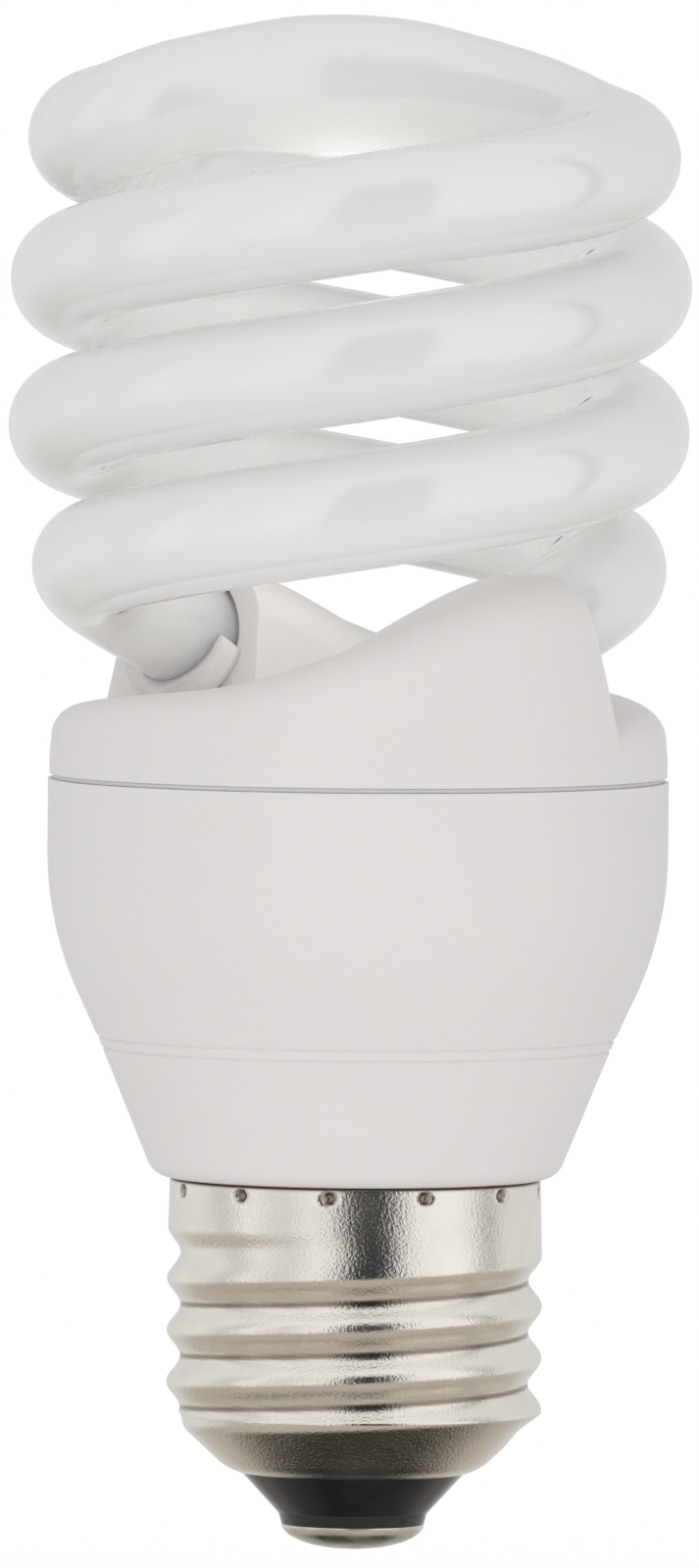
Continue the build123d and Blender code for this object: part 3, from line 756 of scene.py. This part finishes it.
def add_cap(material):
    outside = cap_profile()
    inside = [(spot - normal * cap_wall, spot.y) for spot, normal in outside[::-cap_inner_skip]]
    points = []
    # Painted shade at each point, kept on the mesh for the material
    painted_shade = []
    rows = [(spot, spot.y) for spot, normal in outside] + inside
    for place, level in rows:
        for j in range(cap_sides):
            angle = 360 * j / cap_sides
            depth = groove_depth(angle, level) + crimp_dent(angle, level)
            points.append(polar(place.x - depth, angle, place.y))
            painted_shade.append(cap_painted_shade(angle, level))
    mesh = add_piece("threaded_cap", points, turned_faces(len(rows)), material, "screw_shell")
    mesh.attributes.new("painted_shade", "FLOAT", "POINT").data.foreach_set("value", painted_shade)


# Studio

def add_camera():
    data = bpy.data.cameras.new("photo_camera")
    camera = bpy.data.objects.new("photo_camera", data)
    bpy.context.scene.collection.objects.link(camera)
    place = Vector((view_centre.x, -camera_distance, camera_height))
    way = view_centre - place
    data.sensor_width = sensor_width
    data.lens = sensor_width * way.length / view_height
    data.clip_start = camera_distance / 100
    turn = way.to_track_quat("-Z", "Y").to_matrix().to_4x4()
    camera.matrix_world = Matrix.Translation(place) @ turn @ Matrix.Rotation(camera_roll, 4, "Z")
    bpy.context.scene.camera = camera


def add_floor():
    mesh = bpy.data.meshes.new("floor")
    half = floor_size / 2
    corners = [(-half, -half), (half, -half), (half, half), (-half, half)]
    mesh.from_pydata([(x, y, floor_level) for x, y in corners], [], [(0, 1, 2, 3)])
    floor = bpy.data.objects.new("floor", mesh)
    bpy.context.scene.collection.objects.link(floor)
    material, tree, shader = new_material("pale_floor")
    shader.inputs["Base Color"].default_value = floor_white
    shader.inputs["Roughness"].default_value = floor_roughness
    shader.inputs["Emission Color"].default_value = full_white
    shader.inputs["Emission Strength"].default_value = floor_glow
    reach = vector_node(tree, "LENGTH", place_node(tree))
    fade = remapped(tree, reach, (floor_fade_start, floor_fade_end), (1.0, 0.0), "SMOOTHSTEP")
    seen = add_node(tree, "ShaderNodeLightPath").outputs["Is Camera Ray"]
    tree.links.new(math_node(tree, "MULTIPLY", fade, seen), shader.inputs["Alpha"])
    mesh.materials.append(material)


def add_background(tree, colour, strength):
    return add_node(tree, "ShaderNodeBackground", Color=colour, Strength=strength).outputs[0]


def mix_shaders(tree, share, first, second):
    return add_node(tree, "ShaderNodeMixShader", Fac=share, i1=first, i2=second).outputs[0]


def add_core_fill():
    """Weak soft lamps on the coil's axis, for the light that the real tube's thin walls let through."""
    for height, power in core_fill:
        data = bpy.data.lights.new("core_fill", "POINT")
        data.energy = power
        data.shadow_soft_size = core_fill_size
        lamp = bpy.data.objects.new("core_fill", data)
        lamp.location = (coil_shift * mm, 0, height)
        lamp.visible_camera = False
        lamp.visible_glossy = False
        bpy.context.scene.collection.objects.link(lamp)


def soft_spot(tree, way, middle, outer, inner):
    """A round patch of sky that fades between two cosines of the angle from its middle."""
    near = vector_node(tree, "DOT_PRODUCT", way, middle.normalized())
    return remapped(tree, near, (outer, inner), kind="SMOOTHSTEP")


def add_world():
    """Even light with a broad soft lamp in front, a white backdrop, and the studio that metal shows."""
    world = bpy.data.worlds.new("studio")
    bpy.context.scene.world = world
    world.use_nodes = True
    tree = world.node_tree
    way = add_node(tree, "ShaderNodeTexCoord").outputs["Generated"]
    parts = add_node(tree, "ShaderNodeSeparateXYZ", Vector=way)
    toward = math_node(tree, "MULTIPLY", parts.outputs["Y"], -1.0)
    height = math_node(tree, "MULTIPLY_ADD", parts.outputs["Z"], 0.5, 0.5)

    key = soft_spot(tree, way, key_way, key_outer, key_inner)
    level = math_node(tree, "MULTIPLY_ADD", key, key_strength, soft_ramp(tree, height, room_levels))
    room = add_background(tree, level, 1.0)

    angle = math_node(tree, "ARCTAN2", parts.outputs["X"], toward)
    around = math_node(tree, "MULTIPLY_ADD", angle, 0.5 / pi, 0.5)
    above = math_node(tree, "GREATER_THAN", parts.outputs["Z"], 0.0)
    ends = blend_colour(tree, above, studio_low, studio_high)
    share = soft_ramp(tree, height, studio_ring_share)
    reflected = blend_colour(tree, share, ends, soft_ramp(tree, around, studio_ring))
    dark = soft_spot(tree, way, dark_way, dark_outer, dark_inner)
    reflected = blend_colour(tree, dark, reflected, studio_dark)
    studio = add_background(tree, reflected, 1.0)

    white = add_background(tree, full_white, 1.0)
    path = add_node(tree, "ShaderNodeLightPath")
    seen = math_node(tree, "MAXIMUM", path.outputs["Is Camera Ray"], path.outputs["Is Transmission Ray"])
    lit = mix_shaders(tree, path.outputs["Is Glossy Ray"], room, studio)
    surface = mix_shaders(tree, seen, lit, white)
    tree.nodes.remove(tree.nodes["Background"])
    tree.links.new(surface, tree.nodes["World Output"].inputs["Surface"])


add_camera()
add_world()
add_core_fill()
add_floor()

finishes = make_finishes()
for row in frame["record"]["subparts"]:
    dress(row["node"], finishes[row["material_slot"]])
add_tube(finishes["tube_glass"])
add_mouth_floors(finishes["housing_plastic"])
add_seam_lip(finishes["housing_plastic"])
add_cap(finishes["cap_metal"])

bpy.context.scene.view_settings.view_transform = "Standard"
